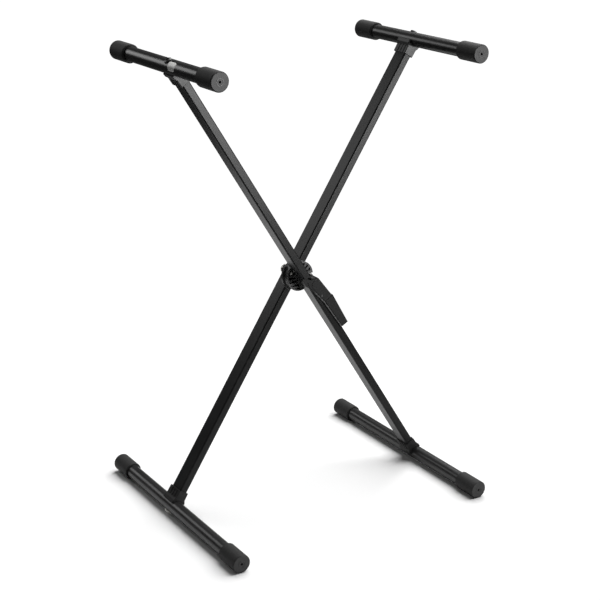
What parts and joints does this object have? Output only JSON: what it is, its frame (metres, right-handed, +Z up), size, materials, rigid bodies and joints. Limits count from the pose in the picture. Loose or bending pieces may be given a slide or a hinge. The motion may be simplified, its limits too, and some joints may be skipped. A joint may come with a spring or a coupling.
{
  "type": "folding keyboard stand",
  "caption": "Single-brace folding X-frame keyboard stand with rubber-capped arms and feet, a ribbed pivot hub and a squeeze trigger that locks its height.",
  "frame": {"origin": "on the floor, directly under the pivot, at the centre of the stand's footprint", "axes": "+X to the right along the keyboard's length across the X, +Y to the back along the arms and feet, +Z up"},
  "size_m": [0.537, 0.456, 0.8256],
  "materials": {
    "leg_powder_coat": "satin black powder coat",
    "round_tube_paint": "semi-gloss black powder coat",
    "cap_rubber": "matte black rubber",
    "black_nylon": "moulded black nylon",
    "grip_plastic": "moulded black plastic",
    "trigger_coat": "satin black powder coat",
    "bolt_black": "blackened steel",
    "zinc_hardware": "zinc plated",
    "plain_steel": "bare oiled steel",
    "label_pale": "blank pale film"
  },
  "bodies": {
    "front_frame": {"front_leg": "leg_powder_coat", "left_arm_tube": "round_tube_paint", "left_arm_saddle": "black_nylon", "left_arm_anchor": "plain_steel", "left_arm_bolt": "bolt_black", "left_arm_front_cap": "cap_rubber", "left_arm_rear_cap": "cap_rubber", "right_foot_tube": "round_tube_paint", "right_foot_saddle": "black_nylon", "right_foot_anchor": "plain_steel", "right_foot_bolt": "bolt_black", "right_foot_front_cap": "cap_rubber", "right_foot_rear_cap": "cap_rubber", "pivot_bolt": "bolt_black", "pivot_washer": "zinc_hardware", "pivot_locknut": "zinc_hardware", "hub_cover_front": "black_nylon", "cover_rivets": "plain_steel", "cover_screw": "zinc_hardware", "trigger_pin": "plain_steel", "spring_seat": "plain_steel", "return_spring": "plain_steel", "blank_label": "label_pale"},
    "rear_frame": {"rear_leg": "leg_powder_coat", "right_arm_tube": "round_tube_paint", "right_arm_saddle": "black_nylon", "right_arm_anchor": "plain_steel", "right_arm_bolt": "bolt_black", "right_arm_front_cap": "cap_rubber", "right_arm_rear_cap": "cap_rubber", "left_foot_tube": "round_tube_paint", "left_foot_saddle": "black_nylon", "left_foot_anchor": "plain_steel", "left_foot_bolt": "bolt_black", "left_foot_front_cap": "cap_rubber", "left_foot_rear_cap": "cap_rubber", "pivot_bush": "plain_steel", "notched_plate": "plain_steel", "hub_cover_rear": "black_nylon", "plate_rivets": "plain_steel"},
    "trigger": {"trigger_lever": "trigger_coat", "trigger_grip": "grip_plastic", "locking_pawl": "plain_steel", "pawl_rivets": "plain_steel"}
  },
  "joints": [
    {"name": "leg_fold", "type": "hinge", "parent": "front_frame", "child": "rear_frame", "pos_m": [0, 0, 0.41282], "axis": [0, 1, 0], "range_deg": [-58.5, 39]},
    {"name": "trigger_squeeze", "type": "hinge", "parent": "front_frame", "child": "trigger", "pos_m": [0.02642, 0, 0.37985], "axis": [0, 1, 0], "range_deg": [-4, 2.5], "stiffness_Nm_per_rad": 3, "deforming": ["return_spring"]}
  ]
}
